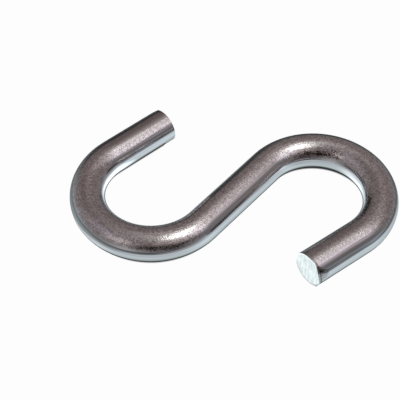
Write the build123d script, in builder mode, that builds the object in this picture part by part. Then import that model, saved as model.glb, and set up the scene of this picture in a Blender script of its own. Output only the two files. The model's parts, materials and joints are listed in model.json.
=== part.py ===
"""S hook: one length of round steel wire, cropped at both ends, bent to an S and zinc plated.

Millimetres. The hook lies flat. +X runs along the load line, from the middle of the left bowl to the middle
of the right bowl, +Z is up, and the origin is below the middle of the hook, on the surface that it lies on.
"""

import os
from math import atan2, degrees

from build123d import *

# Wire
wire_diameter = 8.0

# Shank, the straight between the two bends
shank_length = 22.8

# Left hook, its bend measured at the middle of the wire
left_bend_radius = 14.8
left_bend_angle = 189.0
left_leg_length = 15.8

# Right hook, bent over a little further
right_bend_radius = 14.5
right_bend_angle = 193.0
right_leg_length = 14.7

# Ends, cropped square by a blade that pinches the outer side of each leg, a little above the middle
end_edge_break = 0.3
crop_flat_depth = 0.75
crop_flat_length = 2.4
crop_flat_angle = 18.0

wire_radius = wire_diameter / 2
load_line_angle = degrees(atan2(left_bend_radius + right_bend_radius, shank_length))
shank_plane = Plane.XY.offset(wire_radius).rotated((0, 0, load_line_angle))


def along_crop(leg):
    """Plane along a leg from the middle of its end, with its y axis towards the crop flat."""
    ahead = leg % 1
    outward = Axis.Z.direction.cross(ahead)
    to_flat = outward.rotate(Axis(leg @ 1, ahead), crop_flat_angle)
    return Plane(origin=leg @ 1, x_dir=ahead, z_dir=ahead.cross(to_flat))


# Axis of the wire, from the shank out to both ends
with BuildLine(shank_plane) as wire_axis:
    shank = Line((-shank_length / 2, 0), (shank_length / 2, 0))
    left_bend = JernArc(shank @ 0, -(shank % 0), left_bend_radius, -left_bend_angle)
    left_leg = PolarLine(left_bend @ 1, left_leg_length, direction=left_bend % 1)
    right_bend = JernArc(shank @ 1, shank % 1, right_bend_radius, -right_bend_angle)
    right_leg = PolarLine(right_bend @ 1, right_leg_length, direction=right_bend % 1)

with BuildPart() as bent_wire:
    with BuildSketch(Plane(origin=left_leg @ 1, z_dir=-(left_leg % 1))):
        Circle(wire_radius)
    sweep(path=wire_axis.wire())

    for leg in (left_leg, right_leg):
        end_face = faces().filter_by(GeomType.PLANE).sort_by_distance(leg @ 1)[0]
        chamfer(end_face.edges(), end_edge_break)

        # Crop flat, a wedge off the outer side that runs out along the leg
        with BuildSketch(along_crop(leg)):
            with BuildLine():
                Polyline(
                    (-crop_flat_length, wire_radius),
                    (crop_flat_length, wire_radius - 2 * crop_flat_depth),
                    (crop_flat_length, wire_radius),
                    close=True,
                )
            make_face()
        extrude(amount=wire_radius, both=True, mode=Mode.SUBTRACT)

# Finished hook, with the origin below the middle of its box
middle = bent_wire.part.bounding_box().center()
with BuildPart() as s_hook:
    with Locations((-middle.X, -middle.Y)):
        add(bent_wire.part)
s_hook.part.label = "s_hook"

os.makedirs("parts", exist_ok=True)
export_step(s_hook.part, "parts/s_hook.step")
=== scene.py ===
"""Zinc-plated S hook lying on a white studio floor, dressed around its CAD frame. Metres."""

import json
from math import asin, atan2, ceil, cos, degrees, pi, radians, sin

import bmesh
import bpy
from mathutils import Matrix, Vector

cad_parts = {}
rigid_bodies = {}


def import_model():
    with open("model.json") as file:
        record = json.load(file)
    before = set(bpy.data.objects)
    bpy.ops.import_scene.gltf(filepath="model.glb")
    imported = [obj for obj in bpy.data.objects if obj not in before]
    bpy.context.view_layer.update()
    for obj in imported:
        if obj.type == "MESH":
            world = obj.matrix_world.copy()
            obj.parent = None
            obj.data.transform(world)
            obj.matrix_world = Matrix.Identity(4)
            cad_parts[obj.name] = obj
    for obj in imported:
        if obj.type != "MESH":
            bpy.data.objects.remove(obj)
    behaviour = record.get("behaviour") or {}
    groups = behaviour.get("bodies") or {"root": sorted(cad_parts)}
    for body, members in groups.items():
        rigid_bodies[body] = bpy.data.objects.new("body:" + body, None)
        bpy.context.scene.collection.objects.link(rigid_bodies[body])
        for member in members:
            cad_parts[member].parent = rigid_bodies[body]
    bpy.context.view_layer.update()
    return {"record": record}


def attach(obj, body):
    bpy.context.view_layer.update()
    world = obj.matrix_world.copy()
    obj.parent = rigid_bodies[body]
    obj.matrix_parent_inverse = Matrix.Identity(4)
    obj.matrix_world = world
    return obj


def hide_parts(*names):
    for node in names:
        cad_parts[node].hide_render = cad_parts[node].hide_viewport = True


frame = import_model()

MM = 0.001
UP = Vector((0, 0, 1))

# Camera, at the photograph's viewing angle
CAMERA_AZIMUTH = radians(2.66)
CAMERA_ELEVATION = radians(49.5)
CAMERA_ROLL = radians(-0.439)
CAMERA_DISTANCE = 259.52 * MM
CAMERA_TARGET = Vector((-7.545, -2.2, 4.0)) * MM
CAMERA_LENS_MM = 103.273
CAMERA_SENSOR_MM = 36.0
CAMERA_CLIP_START = 10.0 * MM

# Studio: the room's colour by elevation in degrees, from the floor below to the ceiling
ROOM = (
    (-90, "#DDF1F3"),
    (-50, "#E2F5F9"),
    (-24, "#D4E6EB"),
    (-17, "#A9AEB2"),
    (-6, "#999C9F"),
    (5, "#908E8E"),
    (15, "#958F8D"),
    (35, "#918784"),
    (60, "#897D7A"),
    (90, "#555352"),
)

# Soft patches in the room: how each one mixes, azimuth, elevation and width in degrees, colour, strength
PATCHES = (
    # Key light, high on the right: two bright cores, a broad soft body, and the sides where it falls off
    ("ADD", 117, 70, 9, "#F8FFFB", 6.0),
    ("ADD", 72, 74, 8, "#F4FFFA", 6.5),
    ("ADD", 36, 76, 22, "#FFF8F6", 1.2),
    ("ADD", 106, 48, 15, "#F6F7FF", 1.6),
    ("ADD", 79, 54, 12, "#FFF8FA", 0.55),
    ("ADD", 149, 57, 16, "#FFF8F4", 0.6),
    # Floor to the right
    ("ADD", 104, -38, 18, "#D8F6FA", 0.36),
    ("ADD", 105, -12, 12, "#C4E4F0", 0.46),
    # Floor to the left
    ("ADD", -75, -30, 28, "#DCF4F8", 0.45),
    ("ADD", -60, -46, 14, "#F2FCFF", 0.5),
    ("ADD", -102, -37, 13, "#FFFDF6", 0.4),
    # Dark: ceiling, far floor, foot of the far wall, right front, right wall, far left wall, camera
    ("MULTIPLY", -88, 88, 48, "#A0A0A0", 1.0),
    ("MULTIPLY", 4, -45, 26, "#505050", 1.0),
    ("MULTIPLY", 5, -14, 20, "#7C7C7C", 1.0),
    ("MULTIPLY", 152, 13, 16, "#808080", 1.0),
    ("MULTIPLY", 106, 10, 18, "#E2EEF4", 1.0),
    ("MULTIPLY", -24, 2, 17, "#585858", 1.0),
    ("MULTIPLY", 180, 25, 15, "#606060", 1.0),
    # Fill from the front left
    ("ADD", -106, 47, 26, "#ECECFF", 0.22),
    ("ADD", -136, 39, 13, "#FFFDFB", 0.45),
    ("ADD", -125, 75, 18, "#FFF4F0", 0.17),
    ("ADD", -150, -2, 17, "#F4FFFF", 0.25),
)

# Floor
FLOOR_SIZE = 20.0
FLOOR_COLOUR = "#FDFDFD"

# Floor: contact shade along the wire, by distance from the line where it rests: dark up to the first
# distance, gone at the second, as the camera sees it and as the metal mirrors it
CONTACT_SEEN = (1.85 * MM, 2.4 * MM)
CONTACT_MIRRORED = (3.4 * MM, 4.9 * MM)
CONTACT_HALF_WIDTH = 5.0 * MM
CONTACT_STEP = 0.5 * MM
CONTACT_TAPER = 2.0 * MM
CONTACT_DARKEST = 0.05
CONTACT_LIFT = 0.02 * MM

# Floor: oval round the hook, and the light left in the soft shade round it, by share of the oval's reach,
# on a ramp that covers twice that reach
OVAL_HALF_LENGTH = 44.0 * MM
OVAL_HALF_WIDTH = 35.0 * MM
OVAL_MIDDLE = (5.0 * MM, -8.0 * MM)
OVAL_SHADE = ((0.86, 1.0), (1.02, 0.34), (1.4, 0.34), (1.8, 1.0))
OVAL_RAMP_REACH = 2.0

# Floor: paler inside the left and the right bend, as the metal mirrors it: middle, reach, gain
GLOWS = (
    ((-26.0 * MM, 5.5 * MM, 0.0), 7.5 * MM, 4.0),
    ((28.5 * MM, 6.5 * MM, 0.0), 6.0 * MM, 2.6),
)

# Wire mesh
WIRE_SIDES = 120
RING_STEP = 0.5 * MM
END_RING_STEP = 0.2 * MM
END_ZONE = 5.0 * MM
SMOOTH_ANGLE = radians(35)

# Plate: its crystals and its draw lines, both drawn coarser than real ones, so that they show
CRYSTAL_SIZE = 0.26 * MM
CRYSTAL_HEIGHT = 0.013 * MM
DRAW_LINE_LENGTH = 20.0 * MM
DRAW_LINE_WIDTH = 0.4 * MM
DRAW_LINE_HEIGHT = 0.035 * MM
DRAW_LINE_DETAIL = 2.0
DRAW_LINE_NOISE = (0.35, 0.65)
DRAW_LINE_SHINE = (0.28, 0.72)

# Plate: its dull and its bright tint, at the start and at the end of the wire, and where along it they turn
DULL_TINTS = ("#A39B9D", "#A49C9D")
BRIGHT_TINTS = ("#E1DADC", "#E2DCDE")
TINT_TURN = (40.0 * MM, 54.0 * MM)

# Plate: painted shade, a darker colour on top of the first leg, by shares of the wire's radius, and all
# round the last leg.
# The first leg's looks fade out, and the last leg's fade in, between two places along the wire
FIRST_LEG_FADE = (14.0 * MM, 21.0 * MM)
PAINTED_SHADE_TOP_SHARES = (0.83, 0.92)
LAST_LEG_FADE = (130.0 * MM, 140.0 * MM)
LAST_LEG_PAINTED_SHADE = 0.55
SHINE_UNDER_PAINTED_SHADE = 0.25

# Plate: shares of the wire's radius where its smooth flanks end and its full grain begins, and how much
# farther down the grain reaches in the bends, which have a peel of their own, and on the first leg
FLANK_END_SHARE = 0.74
GRAIN_BEGIN_SHARE = 0.92
BEND_DROP_SHARE = 0.3
BEND_FADE = 5.0 * MM
LEG_DROP_SHARE = 0.16
PEEL_SIZE = 0.5 * MM
PEEL_HEIGHT = 0.011 * MM

# Plate: smoother on the flanks than where it is grainy
FLANK_ROUGHNESS = 0.09
GRAIN_ROUGHNESS = 0.15

# Painted dark reflections in the bends, as ragged dark patches in the plate's colour: middle along the
# wire, angle up from its inner side (past 90 is the outer side), half length, half width in degrees, amount
PAINTED_DARK_REFLECTIONS = (
    (54.5 * MM, 145, 7.5 * MM, 10, 0.7),
    (101.5 * MM, 38, 9.5 * MM, 13, 0.8),
    (106.0 * MM, 52, 3.0 * MM, 9, 0.7),
    (132.0 * MM, 48, 10.5 * MM, 14, 1.0),
)
# A patch is gone at this many half sizes from its middle. Each crystal adds a part by chance, up to the
# ragged share, to the amount, and is all dark where the sum is full
DARK_REFLECTION_FADE = 1.4
DARK_REFLECTION_RAGGED = 0.8
DARK_REFLECTION_FULL = 1.2
# Colour of the painted shade and the painted dark reflections
PAINTED_SHADE_COLOUR = "#4A3C34"

# Cropped ends: the blade's pinch, the torn face, the rim and the burr
CROP_FLAT_DEPTH = 0.75 * MM
CROP_FLAT_LENGTH = 2.4 * MM
CROP_FLAT_LIFT = radians(18)
CROP_FLAT_PRESS = 0.8
TORN_HEIGHT = 0.06 * MM
TORN_SEED = 1
TORN_SMOOTHING = 0.5
TORN_SMOOTH_ROUNDS = 2
FACE_STEEPNESS = 0.8
RIM_STEEPNESS = 0.4
RIM_ROUNDING = 0.4 * MM
RIM_SEGMENTS = 3
BURR_DROP = radians(-45)
BURR_HEIGHT = 0.3 * MM
BURR_REACH = 0.9 * MM

# Cropped ends: painted shade in the pinch by depth and height, and a painted shadow in a seam behind the
# rim's outer side
PINCH_SHADE_FULL_DEPTH = 0.25 * MM
PINCH_SHADE_HEIGHTS = (1.1 * MM, 1.9 * MM)
RIM_SHADOW_SEAM = 0.45 * MM
RIM_SHADOW_SEAM_SHARE = 0.5

# Cropped ends: slanting streaks on the face, and the rim, painted grey below as shade and white above as a
# highlight
END_ROUGHNESS = 0.35
STREAK_LENGTH = 3.0 * MM
STREAK_WIDTH = 0.7 * MM
STREAK_SLANT = radians(35)
STREAK_DETAIL = 3.0
STREAK_ROUGHNESS = 0.7
STREAK_TINTS = ((0.3, "#C9C5C9"), (0.6, "#F2ECE7"))
RIM_SHARES = (0.9, 0.96)
RIM_LIGHT_HEIGHTS = (-2.0 * MM, 0.5 * MM)
RIM_LIGHT_TINTS = ("#A8A6A8", "#FFF6F4")

# Sockets of a colour mix
FACTOR, FIRST, SECOND, MIXED = 0, 6, 7, 2


def linear(hex_colour):
    """Linear colour of an sRGB hex value."""
    shares = [int(hex_colour[place:place + 2], 16) / 255 for place in (1, 3, 5)]
    return (*(s / 12.92 if s <= 0.04045 else ((s + 0.055) / 1.055) ** 2.4 for s in shares), 1.0)


def add_node(tree, kind, links=None, values=None, **properties):
    """Adds a node, sets its properties and its sockets' values, and links its inputs."""
    node = tree.nodes.new(kind)
    for name, value in properties.items():
        setattr(node, name, value)
    for socket, value in (values or {}).items():
        node.inputs[socket].default_value = value
    for socket, source in (links or {}).items():
        tree.links.new(source, node.inputs[socket])
    return node


def set_stops(ramp, stops):
    """Gives a colour ramp its stops, each a place from 0 to 1 and a linear colour."""
    elements = ramp.color_ramp.elements
    while len(elements) < len(stops):
        elements.new(0.5)
    for element, (place, colour) in zip(elements, stops):
        element.position = place
        element.color = colour


def start_material(name):
    """A new material with nodes, and its node tree."""
    material = bpy.data.materials.new(name)
    material.use_nodes = True
    return material, material.node_tree


# Path of the wire's axis, worked out from the frame

record = frame["record"]
mounts = {mount["name"]: mount for mount in record["mounts"]}
wire_radius = mounts["left_leg"]["dims"]["r_mm"] * MM


def leg_of(name):
    """Root and end of a leg, on the wire's axis."""
    mount = mounts[name]
    half = Vector(mount["axis"]) * mount["dims"]["length_mm"] * MM / 2
    middle = Vector(mount["pos_m"])
    return middle - half, middle + half


def bend_of(name, leg_root):
    """Middle and radius of a bend: the circle through the leg's root and the bottom of the bowl."""
    mount = mounts[name]
    inward = Vector(mount["axis"])
    bottom = Vector(mount["pos_m"]) - inward * wire_radius
    chord = leg_root - bottom
    radius = chord.length_squared / (2 * chord.dot(inward))
    return bottom + inward * radius, radius


left_root, left_end = leg_of("left_leg")
right_root, right_end = leg_of("right_leg")
left_middle, left_radius = bend_of("left_bowl", left_root)
right_middle, right_radius = bend_of("right_bowl", right_root)

# The shank touches both bends from opposite sides
load_line = right_middle - left_middle
shank_lean = asin((left_radius + right_radius) / load_line.length)
shank_ahead = Matrix.Rotation(shank_lean, 3, UP) @ load_line.normalized()
shank_side = UP.cross(shank_ahead)
shank_start = left_middle - shank_side * left_radius
shank_end = right_middle + shank_side * right_radius


def straight_points(start, end):
    """Points along a straight, without the last."""
    count = ceil((end - start).length / RING_STEP)
    return [start.lerp(end, step / count) for step in range(count)]


def bend_angle(middle, start, end, turn):
    """Angle of a bend from start to end. Turn is 1 anticlockwise from above, -1 clockwise."""
    out = start - middle
    far = end - middle
    return (turn * (atan2(far.y, far.x) - atan2(out.y, out.x))) % (2 * pi)


def bend_points(middle, start, end, turn):
    """Points along a bend from start to end, without the last."""
    out = start - middle
    angle = bend_angle(middle, start, end, turn)
    count = ceil(angle * out.length / RING_STEP)
    return [middle + Matrix.Rotation(turn * angle * step / count, 3, UP) @ out for step in range(count)]


axis_points = (
    straight_points(left_end, left_root)
    + bend_points(left_middle, left_root, shank_start, 1)
    + straight_points(shank_start, shank_end)
    + bend_points(right_middle, shank_end, right_root, -1)
    + straight_points(right_root, right_end)
    + [right_end]
)
wire_length = sum((b - a).length for a, b in zip(axis_points, axis_points[1:]))
left_bend_start = (left_end - left_root).length
left_bend_end = left_bend_start + left_radius * bend_angle(left_middle, left_root, shank_start, 1)
right_bend_start = left_bend_end + (shank_end - shank_start).length
right_bend_end = wire_length - (right_end - right_root).length


# Finishes

def zinc_plate():
    """Bright zinc plate with a clear passivate on drawn steel wire: a warm grey metal with a satin gloss.
    Pebbled crystals, dull and bright, break up the highlights on top, and faint lines run along the smooth
    flanks. Its colour also carries painted shade and painted dark reflections."""
    material, tree = start_material("bright_zinc_plate")
    metal = tree.nodes["Principled BSDF"]
    metal.inputs["Metallic"].default_value = 1.0
    place = add_node(tree, "ShaderNodeTexCoord")
    on_wire = add_node(tree, "ShaderNodeAttribute", attribute_name="straight_wire")
    parts = add_node(tree, "ShaderNodeSeparateXYZ", {"Vector": on_wire.outputs["Vector"]})
    height = add_node(tree, "ShaderNodeMath", {0: parts.outputs["Z"]}, operation="ABSOLUTE")
    bent = add_node(tree, "ShaderNodeAttribute", attribute_name="bent")
    on_first_leg = add_node(
        tree, "ShaderNodeMapRange", {"Value": parts.outputs["X"]},
        {"From Min": FIRST_LEG_FADE[0], "From Max": FIRST_LEG_FADE[1], "To Min": 1.0, "To Max": 0.0},
    )
    last_leg_shade = add_node(
        tree, "ShaderNodeMapRange", {"Value": parts.outputs["X"]},
        {"From Min": LAST_LEG_FADE[0], "From Max": LAST_LEG_FADE[1], "To Max": LAST_LEG_PAINTED_SHADE},
    )

    # Grain on top, and farther down in the bends and on the first leg
    raised = add_node(
        tree, "ShaderNodeMath", {0: bent.outputs["Fac"], 2: height.outputs[0]},
        {1: BEND_DROP_SHARE * wire_radius}, operation="MULTIPLY_ADD",
    )
    reached = add_node(
        tree, "ShaderNodeMath", {0: on_first_leg.outputs[0], 2: raised.outputs[0]},
        {1: LEG_DROP_SHARE * wire_radius}, operation="MULTIPLY_ADD",
    )
    grainy = add_node(
        tree, "ShaderNodeMapRange", {"Value": reached.outputs[0]},
        {"From Min": FLANK_END_SHARE * wire_radius, "From Max": GRAIN_BEGIN_SHARE * wire_radius},
        interpolation_type="SMOOTHSTEP",
    )
    roughness = add_node(
        tree, "ShaderNodeMapRange", {"Value": grainy.outputs[0]},
        {"To Min": FLANK_ROUGHNESS, "To Max": GRAIN_ROUGHNESS},
    )
    tree.links.new(roughness.outputs[0], metal.inputs["Roughness"])
    crystals = add_node(
        tree, "ShaderNodeTexVoronoi", {"Vector": place.outputs["Object"]}, {"Scale": 1 / CRYSTAL_SIZE},
    )
    chance = add_node(tree, "ShaderNodeSeparateColor", {"Color": crystals.outputs["Color"]})

    # Draw lines, faint on the flanks
    along = add_node(
        tree, "ShaderNodeMapping", {"Vector": on_wire.outputs["Vector"]},
        {"Scale": (1 / DRAW_LINE_LENGTH, 1 / DRAW_LINE_WIDTH, 1 / DRAW_LINE_WIDTH)},
    )
    lines = add_node(
        tree, "ShaderNodeTexNoise", {"Vector": along.outputs[0]},
        {"Scale": 1.0, "Detail": DRAW_LINE_DETAIL},
    )
    lined = add_node(
        tree, "ShaderNodeMapRange", {"Value": lines.outputs["Fac"]},
        {
            "From Min": DRAW_LINE_NOISE[0], "From Max": DRAW_LINE_NOISE[1],
            "To Min": DRAW_LINE_SHINE[0], "To Max": DRAW_LINE_SHINE[1],
        },
    )
    brightness = add_node(
        tree, "ShaderNodeMapRange",
        {"Value": grainy.outputs[0], "To Min": lined.outputs[0], "To Max": chance.outputs["Red"]},
    )

    # Painted shade: the first leg darker on top, and the last leg all round
    on_top = add_node(
        tree, "ShaderNodeMapRange", {"Value": height.outputs[0]},
        {"From Min": PAINTED_SHADE_TOP_SHARES[0] * wire_radius, "From Max": PAINTED_SHADE_TOP_SHARES[1] * wire_radius},
    )
    first_leg_top_shade = add_node(
        tree, "ShaderNodeMath", {0: on_first_leg.outputs[0], 1: on_top.outputs[0]}, operation="MULTIPLY",
    )
    painted_shade_share = add_node(
        tree, "ShaderNodeMath", {0: first_leg_top_shade.outputs[0], 1: last_leg_shade.outputs[0]},
        operation="MAXIMUM",
    )
    shine_under_shade = add_node(
        tree, "ShaderNodeMapRange", {"Value": painted_shade_share.outputs[0]},
        {"To Min": 1.0, "To Max": SHINE_UNDER_PAINTED_SHADE},
    )
    shine_and_shade = add_node(
        tree, "ShaderNodeMath", {0: brightness.outputs[0], 1: shine_under_shade.outputs[0]}, operation="MULTIPLY",
    )

    # The passivate's tint turns a little along the wire
    turned = add_node(
        tree, "ShaderNodeMapRange", {"Value": parts.outputs["X"]},
        {"From Min": TINT_TURN[0], "From Max": TINT_TURN[1]}, interpolation_type="SMOOTHSTEP",
    )
    dull, bright = (
        add_node(
            tree, "ShaderNodeMix", {FACTOR: turned.outputs[0]},
            {FIRST: linear(tints[0]), SECOND: linear(tints[1])}, data_type="RGBA",
        )
        for tints in (DULL_TINTS, BRIGHT_TINTS)
    )
    colour = add_node(
        tree, "ShaderNodeMix",
        {FACTOR: shine_and_shade.outputs[0], FIRST: dull.outputs[MIXED], SECOND: bright.outputs[MIXED]},
        data_type="RGBA",
    )

    # Painted shade where the crop pinches the wire and behind its rim, kept as the scale attribute, and
    # ragged painted dark reflections in the bends
    pinch_and_seam_shade = add_node(tree, "ShaderNodeAttribute", attribute_name="scale")
    dark_reflection_mask = add_node(tree, "ShaderNodeAttribute", attribute_name="dark_reflection")
    specked = add_node(
        tree, "ShaderNodeMath", {0: chance.outputs["Green"], 2: dark_reflection_mask.outputs["Fac"]}, {1: DARK_REFLECTION_RAGGED},
        operation="MULTIPLY_ADD",
    )
    ragged = add_node(
        tree, "ShaderNodeMapRange", {"Value": specked.outputs[0]},
        {"From Min": DARK_REFLECTION_RAGGED, "From Max": DARK_REFLECTION_FULL},
    )
    dark = add_node(
        tree, "ShaderNodeMath", {0: pinch_and_seam_shade.outputs["Fac"], 1: ragged.outputs[0]}, operation="MAXIMUM",
    )
    finish = add_node(
        tree, "ShaderNodeMix", {FACTOR: dark.outputs[0], FIRST: colour.outputs[MIXED]},
        {SECOND: linear(PAINTED_SHADE_COLOUR)}, data_type="RGBA",
    )
    tree.links.new(finish.outputs[MIXED], metal.inputs["Base Color"])

    # Relief: draw lines, a peel like an orange's where bending roughens the plate, and crystals
    drawn = add_node(
        tree, "ShaderNodeBump", {"Height": lines.outputs["Fac"]}, {"Distance": DRAW_LINE_HEIGHT},
    )
    peel = add_node(
        tree, "ShaderNodeTexVoronoi", {"Vector": place.outputs["Object"]}, {"Scale": 1 / PEEL_SIZE},
    )
    roughened = add_node(
        tree, "ShaderNodeMath", {0: bent.outputs["Fac"], 1: grainy.outputs[0]}, operation="MULTIPLY",
    )
    peeled = add_node(
        tree, "ShaderNodeBump",
        {
            "Height": peel.outputs["Distance"],
            "Strength": roughened.outputs[0],
            "Normal": drawn.outputs["Normal"],
        },
        {"Distance": PEEL_HEIGHT}, invert=True,
    )
    pebbled = add_node(
        tree, "ShaderNodeBump",
        {
            "Height": crystals.outputs["Distance"],
            "Strength": grainy.outputs[0],
            "Normal": peeled.outputs["Normal"],
        },
        {"Distance": CRYSTAL_HEIGHT}, invert=True,
    )
    tree.links.new(pebbled.outputs["Normal"], metal.inputs["Normal"])
    return material


def sheared_end():
    """Zinc over a sheared face: paler and duller than the wire, in slanting streaks, with a rim painted
    white above as a highlight and grey below as shade.
    """
    material, tree = start_material("sheared_zinc_end")
    metal = tree.nodes["Principled BSDF"]
    metal.inputs["Metallic"].default_value = 1.0
    metal.inputs["Roughness"].default_value = END_ROUGHNESS
    on_wire = add_node(tree, "ShaderNodeAttribute", attribute_name="straight_wire")
    slant = add_node(
        tree, "ShaderNodeMapping", {"Vector": on_wire.outputs["Vector"]},
        {"Rotation": (STREAK_SLANT, 0, 0), "Scale": (0, 1 / STREAK_WIDTH, 1 / STREAK_LENGTH)},
    )
    streaks = add_node(
        tree, "ShaderNodeTexNoise", {"Vector": slant.outputs[0]},
        {"Scale": 1.0, "Detail": STREAK_DETAIL, "Roughness": STREAK_ROUGHNESS},
    )
    colour = add_node(tree, "ShaderNodeValToRGB", {"Fac": streaks.outputs["Fac"]})
    set_stops(colour, [(noise, linear(tint)) for noise, tint in STREAK_TINTS])

    # Rim: a painted highlight above and painted shade below
    parts = add_node(tree, "ShaderNodeSeparateXYZ", {"Vector": on_wire.outputs["Vector"]})
    lit = add_node(
        tree, "ShaderNodeMapRange", {"Value": parts.outputs["Z"]},
        {"From Min": RIM_LIGHT_HEIGHTS[0], "From Max": RIM_LIGHT_HEIGHTS[1]},
    )
    rim_light = add_node(
        tree, "ShaderNodeMix", {FACTOR: lit.outputs[0]},
        {FIRST: linear(RIM_LIGHT_TINTS[0]), SECOND: linear(RIM_LIGHT_TINTS[1])}, data_type="RGBA",
    )
    across = add_node(
        tree, "ShaderNodeVectorMath", {0: on_wire.outputs["Vector"]}, {1: (0, 1, 1)}, operation="MULTIPLY",
    )
    out = add_node(tree, "ShaderNodeVectorMath", {0: across.outputs[0]}, operation="LENGTH")
    rim = add_node(
        tree, "ShaderNodeMapRange", {"Value": out.outputs["Value"]},
        {"From Min": RIM_SHARES[0] * wire_radius, "From Max": RIM_SHARES[1] * wire_radius},
    )
    finish = add_node(
        tree, "ShaderNodeMix",
        {FACTOR: rim.outputs[0], FIRST: colour.outputs["Color"], SECOND: rim_light.outputs[MIXED]},
        data_type="RGBA",
    )
    tree.links.new(finish.outputs[MIXED], metal.inputs["Base Color"])
    return material


# Modelling

def select_points(piece, wanted):
    """Selects the points that a test picks, and nothing else."""
    bpy.ops.mesh.select_mode(type="VERT")
    bpy.ops.mesh.select_all(action="DESELECT")
    mesh = bmesh.from_edit_mesh(piece.data)
    for point in mesh.verts:
        point.select_set(wanted(point))
    mesh.select_flush_mode()
    bmesh.update_edit_mesh(piece.data)


def select_end_faces(piece, end_x, steepness):
    """Selects the faces at one end of the straight wire that are steeper than a limit."""
    bpy.ops.mesh.select_mode(type="FACE")
    bpy.ops.mesh.select_all(action="DESELECT")
    mesh = bmesh.from_edit_mesh(piece.data)
    for face in mesh.faces:
        at_end = abs(face.calc_center_median().x - end_x) < END_ZONE
        face.select_set(at_end and abs(face.normal.x) > steepness)
    bmesh.update_edit_mesh(piece.data)


def run_wire(length, step):
    """Extrudes the selected ring along the wire in even steps."""
    count = ceil(length / step)
    for _ in range(count):
        bpy.ops.mesh.extrude_region_move(TRANSFORM_OT_translate={"value": (length / count, 0, 0)})


def press_crop_flat(piece, end, ahead):
    """Presses the outer side of an end flat, as the blade does that crops the wire."""
    outward = Matrix.Rotation(CROP_FLAT_LIFT, 3, ahead) @ UP.cross(ahead)
    slope = atan2(CROP_FLAT_DEPTH, CROP_FLAT_LENGTH)
    normal = outward * cos(slope) + ahead * sin(slope)
    run_out = end - ahead * CROP_FLAT_LENGTH + outward * wire_radius
    mesh = bmesh.from_edit_mesh(piece.data)
    for point in mesh.verts:
        proud = (point.co - run_out).dot(normal)
        if proud > 0 and abs(point.co.x - end.x) < END_ZONE:
            point.co -= normal * proud * CROP_FLAT_PRESS
    bmesh.update_edit_mesh(piece.data)


def bend_to_axis(piece):
    """Bends a straight piece along X to the wire's axis."""
    path_data = bpy.data.curves.new("wire_axis", "CURVE")
    path_data.dimensions = "3D"
    path_data.twist_mode = "Z_UP"
    line = path_data.splines.new("POLY")
    line.points.add(len(axis_points) - 1)
    for point, place in zip(line.points, axis_points):
        point.co = (*place, 1)
    path = bpy.data.objects.new("wire_axis", path_data)
    bpy.context.collection.objects.link(path)
    bend = piece.modifiers.new("bend", "CURVE")
    bend.object = path
    bend.deform_axis = "POS_X"
    bpy.ops.object.modifier_apply(modifier=bend.name)
    bpy.data.objects.remove(path)


def keep_straight_place(piece):
    """Keeps each point's place on the straight wire, for the marks that run along it."""
    straight = piece.data.attributes.new("straight_wire", "FLOAT_VECTOR", "POINT")
    for place, point in zip(straight.data, piece.data.vertices):
        place.vector = point.co


def clamped(share):
    """A share kept from 0 to 1."""
    return min(max(share, 0.0), 1.0)


def bend_share(place):
    """How far a point of the straight wire is in a bend: 0 on the straights, 1 well inside a bend."""
    in_left = min(place.x - left_bend_start, left_bend_end - place.x)
    in_right = min(place.x - right_bend_start, right_bend_end - place.x)
    return clamped(max(in_left, in_right) / BEND_FADE)


def dark_reflection_share(place):
    """How much painted dark reflection a point of the straight wire carries: some in the patches, none
    elsewhere.
    """
    inner = 1 if place.x < (left_bend_end + right_bend_start) / 2 else -1
    angle = degrees(atan2(place.z, inner * place.y))
    share = 0.0
    for along, middle, half_length, half_width, amount in PAINTED_DARK_REFLECTIONS:
        off = Vector(((place.x - along) / half_length, (angle - middle) / half_width)).length
        share = max(share, amount * (1 - off / DARK_REFLECTION_FADE))
    return share


def pinch_and_seam_shade_share(place):
    """How much painted shade a point of the straight wire carries: in the upper half of each crop's pinch,
    and as a painted shadow in a thin seam behind the outer side of its rim."""
    from_end = min(place.x, wire_length - place.x)
    if not RIM_ROUNDING < from_end < END_ZONE:
        return 0.0
    depth = wire_radius - Vector((place.y, place.z)).length
    low, full = PINCH_SHADE_HEIGHTS
    pinch = clamped(depth / PINCH_SHADE_FULL_DEPTH) * clamped((place.z - low) / (full - low))
    outwards = place.y if place.x > wire_length / 2 else -place.y
    seam = clamped(outwards / (RIM_SHADOW_SEAM_SHARE * wire_radius))
    return max(pinch, seam * clamped(1 - (from_end - RIM_ROUNDING) / RIM_SHADOW_SEAM))


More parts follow.
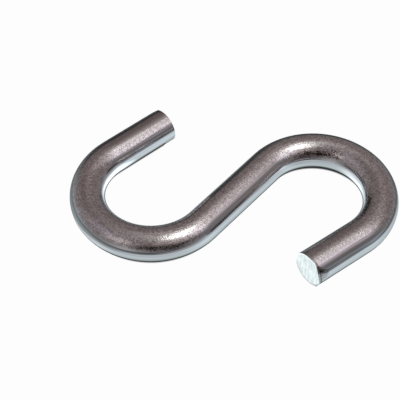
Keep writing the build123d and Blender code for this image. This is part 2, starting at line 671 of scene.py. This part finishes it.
def make_hook():
    """One length of wire, cropped, pinched at both ends and bent to an S."""
    bpy.ops.object.select_all(action="DESELECT")
    bpy.ops.mesh.primitive_circle_add(vertices=WIRE_SIDES, radius=wire_radius, rotation=(0, pi / 2, 0))
    hook = bpy.context.object
    hook.name = "zinc_plated_hook"
    hook.data.name = hook.name
    hook.data.materials.append(zinc_plate())
    hook.data.materials.append(sheared_end())
    bpy.ops.object.transform_apply(location=False, rotation=True, scale=False)

    # Straight wire along X, with closer rings near its ends
    bpy.ops.object.mode_set(mode="EDIT")
    bpy.ops.mesh.select_all(action="SELECT")
    run_wire(END_ZONE, END_RING_STEP)
    run_wire(wire_length - 2 * END_ZONE, RING_STEP)
    run_wire(END_ZONE, END_RING_STEP)

    # Cropped ends: pinched by the blade and closed by a flat face
    start, end = Vector((0, 0, 0)), Vector((wire_length, 0, 0))
    press_crop_flat(hook, start, Vector((-1, 0, 0)))
    press_crop_flat(hook, end, Vector((1, 0, 0)))
    for end_x in (0, wire_length):
        select_points(hook, lambda point: point.is_boundary and abs(point.co.x - end_x) < END_ZONE)
        bpy.ops.transform.resize(value=(0, 1, 1), center_override=(end_x, 0, 0))
        bpy.ops.mesh.fill_grid(span=WIRE_SIDES // 4)
    bpy.ops.mesh.select_all(action="SELECT")
    bpy.ops.mesh.normals_make_consistent(inside=False)

    # Burr, torn faces and rims, whose rounding the overlap limit cuts to 0.014 mm on this fine mesh
    burr_way = Vector((0, cos(BURR_DROP), sin(BURR_DROP)))
    burr_tip = end + wire_radius * burr_way
    select_points(hook, lambda point: (point.co - burr_tip).length < END_RING_STEP)
    bpy.ops.transform.translate(
        value=BURR_HEIGHT * burr_way,
        use_proportional_edit=True,
        proportional_edit_falloff="SHARP",
        proportional_size=BURR_REACH,
    )
    for end_x in (0, wire_length):
        select_end_faces(hook, end_x, FACE_STEEPNESS)
        bpy.ops.mesh.select_less()
        bpy.ops.transform.vertex_random(offset=TORN_HEIGHT, uniform=0.0, normal=1.0, seed=TORN_SEED)
        bpy.ops.mesh.vertices_smooth(factor=TORN_SMOOTHING, repeat=TORN_SMOOTH_ROUNDS)
        select_end_faces(hook, end_x, FACE_STEEPNESS)
        bpy.ops.mesh.region_to_loop()
        bpy.ops.mesh.bevel(
            offset=RIM_ROUNDING, segments=RIM_SEGMENTS, affect="EDGES", clamp_overlap=True,
        )
        select_end_faces(hook, end_x, RIM_STEEPNESS)
        hook.active_material_index = 1
        bpy.ops.object.material_slot_assign()
    bpy.ops.object.mode_set(mode="OBJECT")

    keep_straight_place(hook)
    # Painted shade at the cropped ends is kept as the scale attribute, and painted dark reflections in the
    # bends as the next
    for name, share_of in (("bent", bend_share), ("scale", pinch_and_seam_shade_share), ("dark_reflection", dark_reflection_share)):
        shares = hook.data.attributes.new(name, "FLOAT", "POINT")
        for share, point in zip(shares.data, hook.data.vertices):
            share.value = share_of(point.co)
    bend_to_axis(hook)
    bpy.ops.object.shade_smooth_by_angle(angle=SMOOTH_ANGLE)
    return hook


hook = make_hook()
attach(hook, "root")
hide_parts("s_hook")


# Stage

def make_floor():
    """White acrylic sheet, lit from below, so that it shows no shadow."""
    bpy.ops.object.select_all(action="DESELECT")
    bpy.ops.mesh.primitive_plane_add(size=FLOOR_SIZE)
    floor = bpy.context.object
    floor.name = "floor"
    material, tree = start_material("white_acrylic_sheet")
    tree.nodes.clear()
    place = add_node(tree, "ShaderNodeTexCoord")

    # Soft shade in an oval round the hook
    oval = add_node(
        tree, "ShaderNodeMapping", {"Vector": place.outputs["Object"]},
        {
            "Location": (-OVAL_MIDDLE[0] / OVAL_HALF_LENGTH, -OVAL_MIDDLE[1] / OVAL_HALF_WIDTH, 0),
            "Scale": (1 / OVAL_HALF_LENGTH, 1 / OVAL_HALF_WIDTH, 1),
        },
    )
    out = add_node(tree, "ShaderNodeVectorMath", {0: oval.outputs[0]}, operation="LENGTH")
    on_ramp = add_node(
        tree, "ShaderNodeMath", {0: out.outputs["Value"]}, {1: 1 / OVAL_RAMP_REACH}, operation="MULTIPLY",
    )
    light_through = add_node(tree, "ShaderNodeValToRGB", {"Fac": on_ramp.outputs[0]})
    set_stops(
        light_through,
        [(share / OVAL_RAMP_REACH, (light, light, light, 1)) for share, light in OVAL_SHADE],
    )

    # Paler inside the bends
    for middle, reach, gain in GLOWS:
        from_middle = add_node(
            tree, "ShaderNodeVectorMath", {0: place.outputs["Object"]}, {1: middle}, operation="DISTANCE",
        )
        glow = add_node(
            tree, "ShaderNodeMapRange", {"Value": from_middle.outputs["Value"]},
            {"From Max": reach, "To Min": gain, "To Max": 1.0},
        )
        light_through = add_node(
            tree, "ShaderNodeVectorMath", {0: light_through.outputs[0], 1: glow.outputs[0]},
            operation="MULTIPLY",
        )

    # The camera sees the sheet, and the metal mirrors the room's lower half through it
    sheet = add_node(tree, "ShaderNodeEmission", values={"Color": linear(FLOOR_COLOUR)})
    mirrored = add_node(tree, "ShaderNodeBsdfTransparent", {"Color": light_through.outputs[0]})
    way = add_node(tree, "ShaderNodeLightPath")
    shown = add_node(
        tree, "ShaderNodeMixShader",
        {0: way.outputs["Is Camera Ray"], 1: mirrored.outputs[0], 2: sheet.outputs[0]},
    )
    add_node(tree, "ShaderNodeOutputMaterial", {"Surface": shown.outputs[0]})
    floor.data.materials.append(material)


def make_contact_shade():
    """Dark line on the floor where the wire rests: a clear ribbon along the wire, dark in its middle."""
    bpy.ops.object.select_all(action="DESELECT")
    bpy.ops.mesh.primitive_plane_add(size=2 * CONTACT_HALF_WIDTH)
    shade = bpy.context.object
    shade.name = "contact_shade"
    bpy.ops.object.mode_set(mode="EDIT")
    bpy.ops.transform.translate(value=(-CONTACT_HALF_WIDTH, 0, CONTACT_LIFT - wire_radius))
    select_points(shade, lambda point: point.co.x < -CONTACT_HALF_WIDTH)
    bpy.ops.mesh.delete(type="VERT")
    bpy.ops.mesh.select_all(action="SELECT")
    run_wire(wire_length, CONTACT_STEP)
    bpy.ops.object.mode_set(mode="OBJECT")
    keep_straight_place(shade)
    bend_to_axis(shade)

    material, tree = start_material("contact_shade")
    tree.nodes.clear()
    on_wire = add_node(tree, "ShaderNodeAttribute", attribute_name="straight_wire")
    parts = add_node(tree, "ShaderNodeSeparateXYZ", {"Vector": on_wire.outputs["Vector"]})
    across = add_node(tree, "ShaderNodeMath", {0: parts.outputs["Y"]}, operation="ABSOLUTE")

    # It narrows to a point at both ends of the wire
    lengthwise = add_node(
        tree, "ShaderNodeMath", {0: parts.outputs["X"]}, {1: wire_length / 2}, operation="SUBTRACT",
    )
    from_middle = add_node(tree, "ShaderNodeMath", {0: lengthwise.outputs[0]}, operation="ABSOLUTE")
    taper = add_node(
        tree, "ShaderNodeMapRange", {"Value": from_middle.outputs[0]},
        {
            "From Min": wire_length / 2 - CONTACT_TAPER,
            "From Max": wire_length / 2,
            "To Max": CONTACT_SEEN[1],
        },
    )
    aside = add_node(tree, "ShaderNodeMath", {0: across.outputs[0], 1: taper.outputs[0]}, operation="ADD")

    seen, mirrored = (
        add_node(
            tree, "ShaderNodeMapRange", {"Value": aside.outputs[0]},
            {"From Min": dark, "From Max": clear, "To Min": CONTACT_DARKEST},
            interpolation_type="SMOOTHSTEP",
        )
        for dark, clear in (CONTACT_SEEN, CONTACT_MIRRORED)
    )
    way = add_node(tree, "ShaderNodeLightPath")
    clearness = add_node(
        tree, "ShaderNodeMapRange",
        {"Value": way.outputs["Is Camera Ray"], "To Min": mirrored.outputs[0], "To Max": seen.outputs[0]},
    )
    ribbon = add_node(tree, "ShaderNodeBsdfTransparent", {"Color": clearness.outputs[0]})
    add_node(tree, "ShaderNodeOutputMaterial", {"Surface": ribbon.outputs[0]})
    shade.data.materials.append(material)


def direction(azimuth, elevation):
    """Unit vector from an azimuth clockwise from +Y and an elevation, in degrees."""
    a, e = radians(azimuth), radians(elevation)
    return Vector((sin(a) * cos(e), cos(a) * cos(e), sin(e)))


def make_studio():
    """Soft studio surroundings, as the metal mirrors them: a dim warm room over a pale floor, one large
    soft key light from the right, a weak fill from the front left, and dark walls."""
    world = bpy.data.worlds.new("studio")
    bpy.context.scene.world = world
    # Light only along mirrored rays, so that all of it passes the floor's shade
    world.cycles.sampling_method = "NONE"
    world.use_nodes = True
    tree = world.node_tree
    background = tree.nodes["Background"]
    towards = add_node(tree, "ShaderNodeTexCoord").outputs["Generated"]

    # Room, by elevation
    parts = add_node(tree, "ShaderNodeSeparateXYZ", {"Vector": towards})
    lift = add_node(tree, "ShaderNodeMath", {0: parts.outputs["Z"]}, operation="ARCSINE")
    height = add_node(
        tree, "ShaderNodeMapRange", {"Value": lift.outputs[0]}, {"From Min": -pi / 2, "From Max": pi / 2},
    )
    room = add_node(tree, "ShaderNodeValToRGB", {"Fac": height.outputs[0]})
    set_stops(room, [((elevation + 90) / 180, linear(colour)) for elevation, colour in ROOM])
    light = room.outputs["Color"]

    # Patches, each 1 at its middle and about a third at its width
    for blend, azimuth, elevation, width, colour, strength in PATCHES:
        tightness = 2 / radians(width) ** 2
        facing = add_node(
            tree, "ShaderNodeVectorMath", {0: towards}, {1: direction(azimuth, elevation)},
            operation="DOT_PRODUCT",
        )
        falloff = add_node(
            tree, "ShaderNodeMath", {0: facing.outputs["Value"]}, {1: tightness, 2: -tightness},
            operation="MULTIPLY_ADD",
        )
        patch = add_node(tree, "ShaderNodeMath", {0: falloff.outputs[0]}, operation="EXPONENT")
        amount = [share * strength for share in linear(colour)]
        mixed = add_node(
            tree, "ShaderNodeMix", {FACTOR: patch.outputs[0], FIRST: light}, {SECOND: amount},
            data_type="RGBA", blend_type=blend,
        )
        light = mixed.outputs[MIXED]

    # The camera sees plain white past the floor
    way = add_node(tree, "ShaderNodeLightPath")
    shown = add_node(
        tree, "ShaderNodeMix", {FACTOR: way.outputs["Is Camera Ray"], FIRST: light},
        {SECOND: linear("#FFFFFF")}, data_type="RGBA",
    )
    tree.links.new(shown.outputs[MIXED], background.inputs["Color"])


def make_camera():
    """Camera at the photograph's viewing angle."""
    data = bpy.data.cameras.new("camera")
    data.lens = CAMERA_LENS_MM
    data.sensor_width = CAMERA_SENSOR_MM
    data.clip_start = CAMERA_CLIP_START
    camera = bpy.data.objects.new("camera", data)
    bpy.context.collection.objects.link(camera)
    back = Vector((
        sin(CAMERA_AZIMUTH) * cos(CAMERA_ELEVATION),
        -cos(CAMERA_AZIMUTH) * cos(CAMERA_ELEVATION),
        sin(CAMERA_ELEVATION),
    ))
    level = back.to_track_quat("Z", "Y").to_matrix()
    camera.rotation_euler = (level @ Matrix.Rotation(CAMERA_ROLL, 3, "Z")).to_euler()
    camera.location = CAMERA_TARGET + back * CAMERA_DISTANCE
    bpy.context.scene.camera = camera


make_floor()
make_contact_shade()
make_studio()
make_camera()
bpy.context.scene.view_settings.view_transform = "Standard"
# Denoising would wipe the plate's grain away
bpy.context.scene.cycles.use_denoising = False
